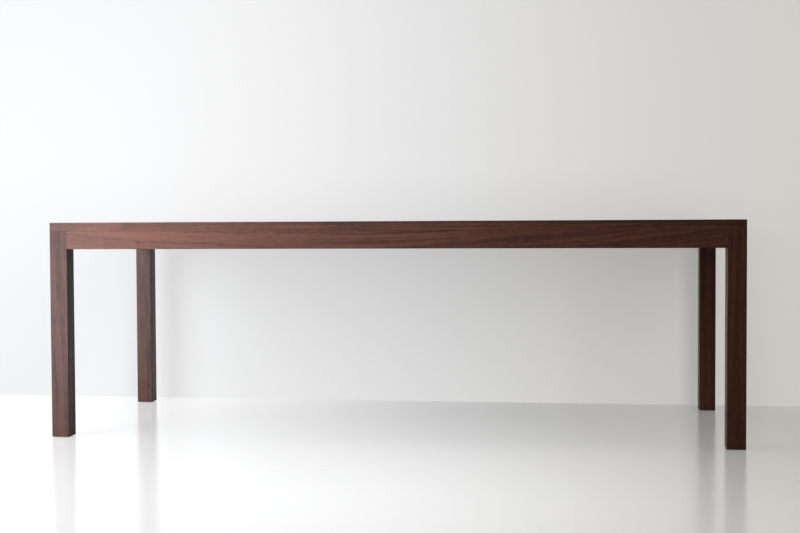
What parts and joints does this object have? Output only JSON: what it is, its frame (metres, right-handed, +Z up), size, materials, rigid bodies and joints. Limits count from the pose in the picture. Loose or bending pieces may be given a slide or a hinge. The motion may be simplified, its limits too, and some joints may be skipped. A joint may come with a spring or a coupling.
{
  "type": "dining table",
  "caption": "Long rectangular parsons dining table: a slab top flush with square corner legs and slim aprons, with legs that bolt on.",
  "frame": {"origin": "on the floor, under the middle of the top", "axes": "+X along the table's length, -Y out of its front, +Z up"},
  "size_m": [2.4384, 0.9652, 0.7747],
  "materials": {
    "walnut": "satin oil",
    "beech": "raw",
    "zinc_steel": "zinc plated",
    "nylon": "matte"
  },
  "bodies": {
    "root": {"top_board_1": "walnut", "top_board_2": "walnut", "top_board_3": "walnut", "top_board_4": "walnut", "top_board_5": "walnut", "top_board_6": "walnut", "top_board_7": "walnut", "front_apron": "walnut", "rear_apron": "walnut", "left_apron": "walnut", "right_apron": "walnut", "front_left_leg": "walnut", "front_right_leg": "walnut", "rear_right_leg": "walnut", "rear_left_leg": "walnut", "front_left_corner_block": "walnut", "front_right_corner_block": "walnut", "rear_right_corner_block": "walnut", "rear_left_corner_block": "walnut", "cross_rail_1": "walnut", "cross_rail_2": "walnut", "cross_rail_3": "walnut", "top_loose_tenons": "beech", "hanger_bolts": "zinc_steel", "hanger_washers": "zinc_steel", "hanger_nuts": "zinc_steel", "block_screws": "zinc_steel", "apron_clips": "zinc_steel", "clip_apron_screws": "zinc_steel", "clip_top_screws": "zinc_steel", "rail_screws": "zinc_steel", "rail_washers": "zinc_steel", "glide_screws": "zinc_steel", "foot_glides": "nylon"}
  },
  "joints": []
}
